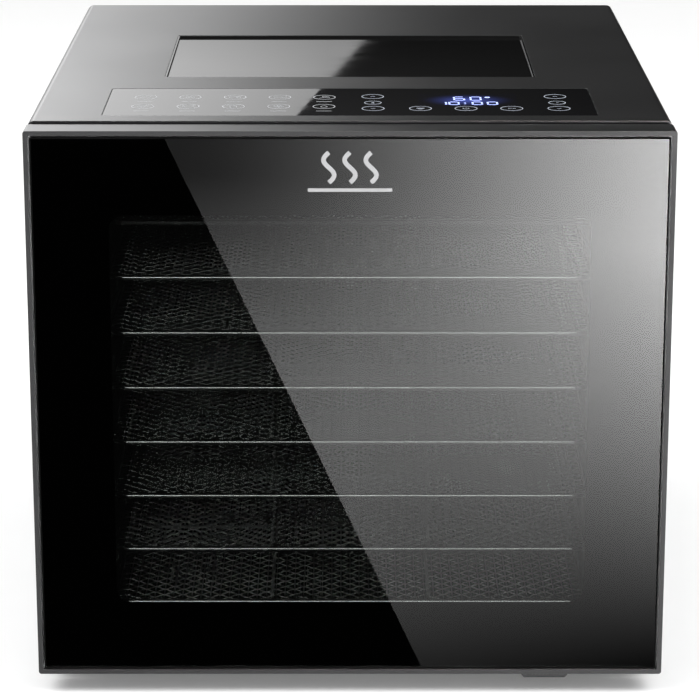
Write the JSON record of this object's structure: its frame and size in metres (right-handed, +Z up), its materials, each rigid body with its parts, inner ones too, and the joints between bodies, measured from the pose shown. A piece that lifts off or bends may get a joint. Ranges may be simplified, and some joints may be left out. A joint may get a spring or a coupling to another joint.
{
  "type": "food dehydrator",
  "caption": "Cabinet food dehydrator: satin steel case, glass door on side hinges, stacked wire trays, touch panel and inset tray on top, rear fan and heater.",
  "frame": {"origin": "table level under the centre of the whole object", "axes": "+Z up, door facing -Y, +X to the right seen from the door"},
  "size_m": [0.34, 0.4, 0.3145],
  "materials": {
    "case_steel": "satin",
    "grey_paint": "satin powder coat",
    "black_moulding": "fine texture",
    "liner_steel": "satin",
    "screw_steel": "bright",
    "heater_sheath": "heat-darkened",
    "bracket_steel": "zinc plated",
    "cutout_body": "matte",
    "motor_steel": "satin",
    "fan_aluminium": "satin",
    "circuit_board": "satin",
    "display_plastic": "matte",
    "black_glass": "gloss",
    "gloss_black": "gloss",
    "pin_brass": "nickel-plated",
    "foot_rubber": "matte",
    "magnet_nickel": "bright",
    "door_metal": "satin",
    "window_glass": "clear",
    "glass_print": "opaque ink",
    "seal_silicone": "matte",
    "tray_rod": "bright",
    "tray_mesh": "woven wire"
  },
  "bodies": {
    "housing": {"outer_wrap": "case_steel", "bottom_plate": "grey_paint", "rear_cover": "grey_paint", "front_frame": "black_moulding", "liner_left": "liner_steel", "liner_right": "liner_steel", "liner_floor": "liner_steel", "liner_ceiling": "liner_steel", "liner_back": "liner_steel", "rack_left": "liner_steel", "rack_right": "liner_steel", "fan_baffle": "liner_steel", "baffle_screws": "screw_steel", "heating_element": "heater_sheath", "heater_brackets": "bracket_steel", "temperature_probe": "screw_steel", "thermal_cutout": "cutout_body", "fan_motor": "motor_steel", "motor_bracket": "bracket_steel", "power_board": "circuit_board", "control_board": "circuit_board", "display_module": "display_plastic", "panel_carrier": "black_moulding", "touch_glass": "black_glass", "top_inset": "gloss_black", "power_inlet": "black_moulding", "inlet_pins": "pin_brass", "feet": "foot_rubber", "foot_screws": "screw_steel", "case_screws": "screw_steel", "hinge_brackets": "bracket_steel", "hinge_pins": "screw_steel", "catch_magnets": "magnet_nickel"},
    "door": {"door_frame": "door_metal", "door_glass": "window_glass", "glass_print": "glass_print", "door_inner_panel": "black_moulding", "door_seal": "seal_silicone", "door_grip": "door_metal", "strike_plates": "magnet_nickel", "door_screws": "screw_steel"},
    "fan": {"fan_wheel": "fan_aluminium", "fan_shaft": "screw_steel", "fan_nut": "screw_steel"},
    "tray_1": {"tray_frame_1": "tray_rod", "tray_mesh_1": "tray_mesh"},
    "tray_2": {"tray_frame_2": "tray_rod", "tray_mesh_2": "tray_mesh"},
    "tray_3": {"tray_frame_3": "tray_rod", "tray_mesh_3": "tray_mesh"},
    "tray_4": {"tray_frame_4": "tray_rod", "tray_mesh_4": "tray_mesh"},
    "tray_5": {"tray_frame_5": "tray_rod", "tray_mesh_5": "tray_mesh"},
    "tray_6": {"tray_frame_6": "tray_rod", "tray_mesh_6": "tray_mesh"},
    "tray_7": {"tray_frame_7": "tray_rod", "tray_mesh_7": "tray_mesh"},
    "tray_8": {"tray_frame_8": "tray_rod", "tray_mesh_8": "tray_mesh"}
  },
  "joints": [
    {"name": "door_hinge", "type": "hinge", "parent": "housing", "child": "door", "pos_m": [-0.164, -0.188, 0.1625], "axis": [0, 0, -1], "range_deg": [0, 110]},
    {"name": "fan_spin", "type": "hinge", "parent": "housing", "child": "fan", "pos_m": [0, 0.134, 0.153], "axis": [0, 1, 0], "continuous": true},
    {"name": "tray_1_slide", "type": "slide", "parent": "housing", "child": "tray_1", "axis": [0, -1, 0], "range_m": [0, 0.105]},
    {"name": "tray_2_slide", "type": "slide", "parent": "housing", "child": "tray_2", "axis": [0, -1, 0], "range_m": [0, 0.098]},
    {"name": "tray_3_slide", "type": "slide", "parent": "housing", "child": "tray_3", "axis": [0, -1, 0], "range_m": [0, 0.09]},
    {"name": "tray_4_slide", "type": "slide", "parent": "housing", "child": "tray_4", "axis": [0, -1, 0], "range_m": [0, 0.082]},
    {"name": "tray_5_slide", "type": "slide", "parent": "housing", "child": "tray_5", "axis": [0, -1, 0], "range_m": [0, 0.074]},
    {"name": "tray_6_slide", "type": "slide", "parent": "housing", "child": "tray_6", "axis": [0, -1, 0], "range_m": [0, 0.066]},
    {"name": "tray_7_slide", "type": "slide", "parent": "housing", "child": "tray_7", "axis": [0, -1, 0], "range_m": [0, 0.058]},
    {"name": "tray_8_slide", "type": "slide", "parent": "housing", "child": "tray_8", "axis": [0, -1, 0], "range_m": [0, 0.05]}
  ],
  "couplings": [
    {"joint": "tray_1_slide", "follows": "door_hinge", "m_per_rad": 0.054686},
    {"joint": "tray_2_slide", "follows": "door_hinge", "m_per_rad": 0.05104},
    {"joint": "tray_3_slide", "follows": "door_hinge", "m_per_rad": 0.046874},
    {"joint": "tray_4_slide", "follows": "door_hinge", "m_per_rad": 0.042707},
    {"joint": "tray_5_slide", "follows": "door_hinge", "m_per_rad": 0.038541},
    {"joint": "tray_6_slide", "follows": "door_hinge", "m_per_rad": 0.034374},
    {"joint": "tray_7_slide", "follows": "door_hinge", "m_per_rad": 0.030207},
    {"joint": "tray_8_slide", "follows": "door_hinge", "m_per_rad": 0.026041}
  ]
}
